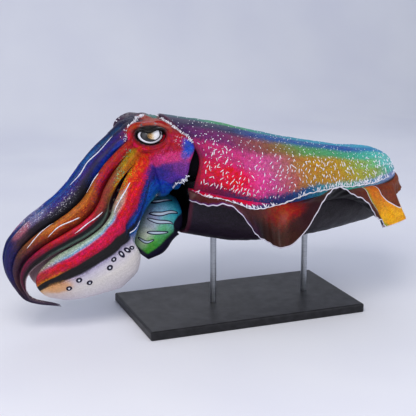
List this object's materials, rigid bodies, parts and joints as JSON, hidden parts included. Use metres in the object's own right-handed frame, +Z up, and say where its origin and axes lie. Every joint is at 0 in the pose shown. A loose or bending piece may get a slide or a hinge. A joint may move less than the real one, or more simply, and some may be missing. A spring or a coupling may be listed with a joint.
{
  "type": "giant Australian cuttlefish",
  "caption": "Life-size model of a giant Australian cuttlefish, swimming with drooping arms and waving fins, held up by a plain display stand.",
  "frame": {"origin": "centre of the bounding box in plan, at the underside of the stand's base", "axes": "+X towards the tail, head and arms towards -X; the animal's left side faces -Y; +Z up"},
  "size_m": [0.7281, 0.3678, 0.3618],
  "materials": {
    "mantle_skin": "wet skin, teal on the back, crimson to ochre and turquoise on the sides, with white papillae",
    "head_skin": "wet skin, red round the eye, blue and purple below",
    "arm_skin": "wet skin in bands of navy, brown, crimson and pale teal",
    "fin_skin": "wet skin, dark red-brown with a pale root line, golden at the tail",
    "funnel_skin": "wet skin, pale teal to green",
    "eye": "wet and glossy, silver-gold with a black W-shaped pupil",
    "stand_plate": "satin black",
    "stand_rod": "brushed"
  },
  "bodies": {
    "root": {"mantle": "mantle_skin", "head": "head_skin", "eye_left": "eye", "eye_right": "eye", "funnel": "funnel_skin", "fin_left_front": "fin_skin", "fin_left_middle": "fin_skin", "fin_left_rear": "fin_skin", "fin_right_front": "fin_skin", "fin_right_middle": "fin_skin", "fin_right_rear": "fin_skin", "arm_left_dorsal_base": "arm_skin", "arm_left_dorsal_middle": "arm_skin", "arm_left_dorsal_tip": "arm_skin", "arm_left_upper_base": "arm_skin", "arm_left_upper_middle": "arm_skin", "arm_left_upper_tip": "arm_skin", "arm_left_lower_base": "arm_skin", "arm_left_lower_middle": "arm_skin", "arm_left_lower_tip": "arm_skin", "arm_left_ventral_base": "arm_skin", "arm_left_ventral_middle": "arm_skin", "arm_left_ventral_tip": "arm_skin", "arm_right_dorsal_base": "arm_skin", "arm_right_dorsal_middle": "arm_skin", "arm_right_dorsal_tip": "arm_skin", "arm_right_upper_base": "arm_skin", "arm_right_upper_middle": "arm_skin", "arm_right_upper_tip": "arm_skin", "arm_right_lower_base": "arm_skin", "arm_right_lower_middle": "arm_skin", "arm_right_lower_tip": "arm_skin", "arm_right_ventral_base": "arm_skin", "arm_right_ventral_middle": "arm_skin", "arm_right_ventral_tip": "arm_skin", "stand_base": "stand_plate", "stand_rod_front": "stand_rod", "stand_rod_rear": "stand_rod"}
  },
  "joints": []
}
